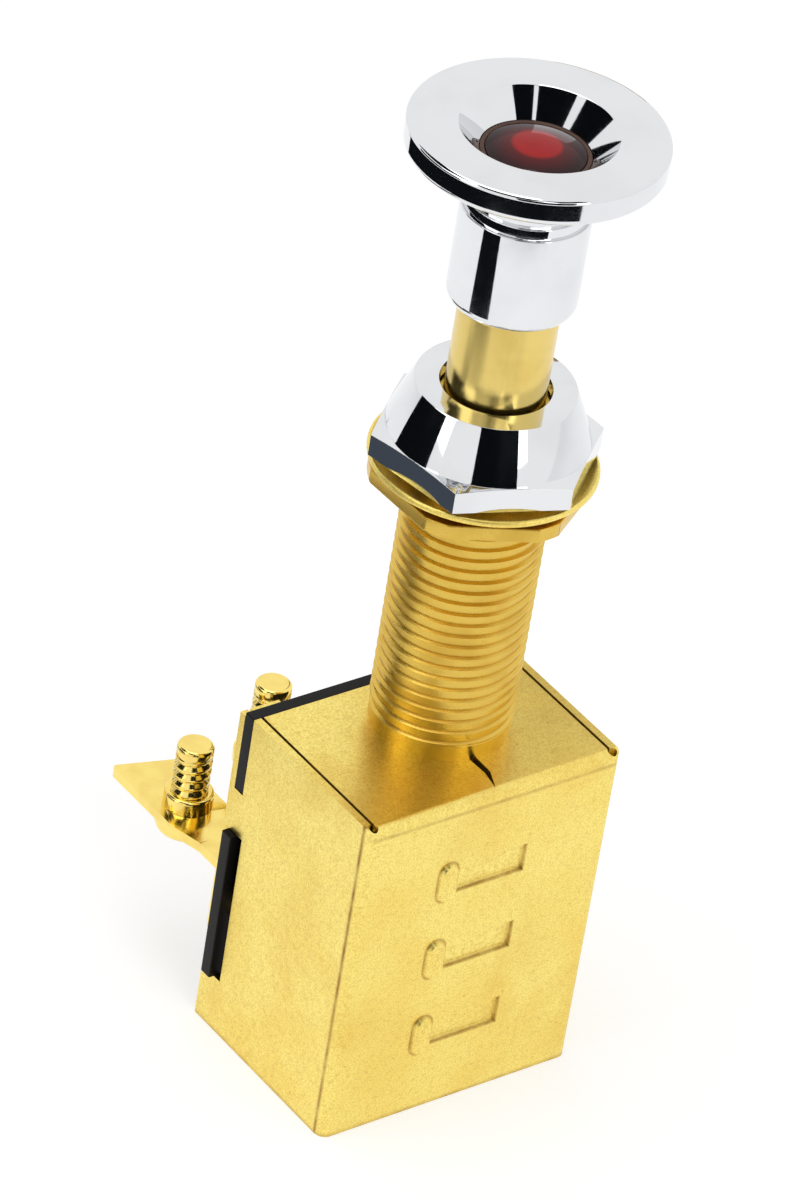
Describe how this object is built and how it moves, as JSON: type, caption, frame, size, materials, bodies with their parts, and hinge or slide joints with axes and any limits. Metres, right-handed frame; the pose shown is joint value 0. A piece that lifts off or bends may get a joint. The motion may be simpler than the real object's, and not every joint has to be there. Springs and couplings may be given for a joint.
{
  "type": "push-pull switch",
  "caption": "Push-pull panel switch: folded brass case, threaded bushing with hex nuts, screw terminals behind, and a plunger with a lighted chrome pull knob.",
  "frame": {"origin": "on the plunger's axis, level with the open lower edge of the case", "axes": "+Z along the plunger towards the knob, -Y out of the stamped front wall, +Y to the terminals"},
  "size_m": [0.0354, 0.0444, 0.1176],
  "materials": {
    "brass_sheet": "satin rolled brass",
    "brass_turned": "bright turned brass",
    "brass_tab": "polished brass",
    "chrome": "polished plating",
    "laminate": "black phenolic laminate",
    "red_lens": "translucent red",
    "dark_ring": "dark bronze",
    "clear_glass": "clear",
    "spring_steel": "bright wire",
    "lead_cover": "black insulation",
    "carriage_plastic": "brown moulded phenolic"
  },
  "bodies": {
    "housing": {"case": "brass_sheet", "bushing": "brass_turned", "lock_nut": "brass_turned", "lock_washer": "brass_sheet", "bezel_nut": "chrome", "terminal_board": "laminate", "terminal_left": "brass_tab", "terminal_middle": "brass_tab", "terminal_right": "brass_tab", "terminal_screws": "brass_tab", "contact_rivets": "brass_tab"},
    "plunger": {"plunger_tube": "brass_turned", "knob_collar": "chrome", "knob_bezel": "chrome", "lens": "red_lens", "lens_ring": "dark_ring", "lamp_glass": "clear_glass", "lamp_base": "brass_sheet", "lamp_contact": "brass_sheet", "lamp_spring": "spring_steel", "lamp_insulator": "laminate", "lamp_lead": "lead_cover", "carriage": "carriage_plastic", "retaining_ring": "spring_steel", "contact_springs": "spring_steel", "detent_spring": "spring_steel"},
    "bridge": {"contact_bridge": "brass_tab"},
    "detent": {"detent_ball": "spring_steel"}
  },
  "joints": [
    {"name": "plunger_slide", "type": "slide", "parent": "housing", "child": "plunger", "axis": [0, 0, 1], "range_m": [-0.009, 0]},
    {"name": "bridge_float", "type": "slide", "parent": "plunger", "child": "bridge", "axis": [0, 1, 0], "range_m": [-0.0003, 0], "stiffness_N_per_m": 400, "springref_m": 0.001, "deforming": ["contact_springs"]},
    {"name": "detent_press", "type": "slide", "parent": "plunger", "child": "detent", "axis": [0, 1, 0], "range_m": [0, 0.0004], "stiffness_N_per_m": 300, "springref_m": -0.001, "deforming": ["detent_spring"]}
  ]
}
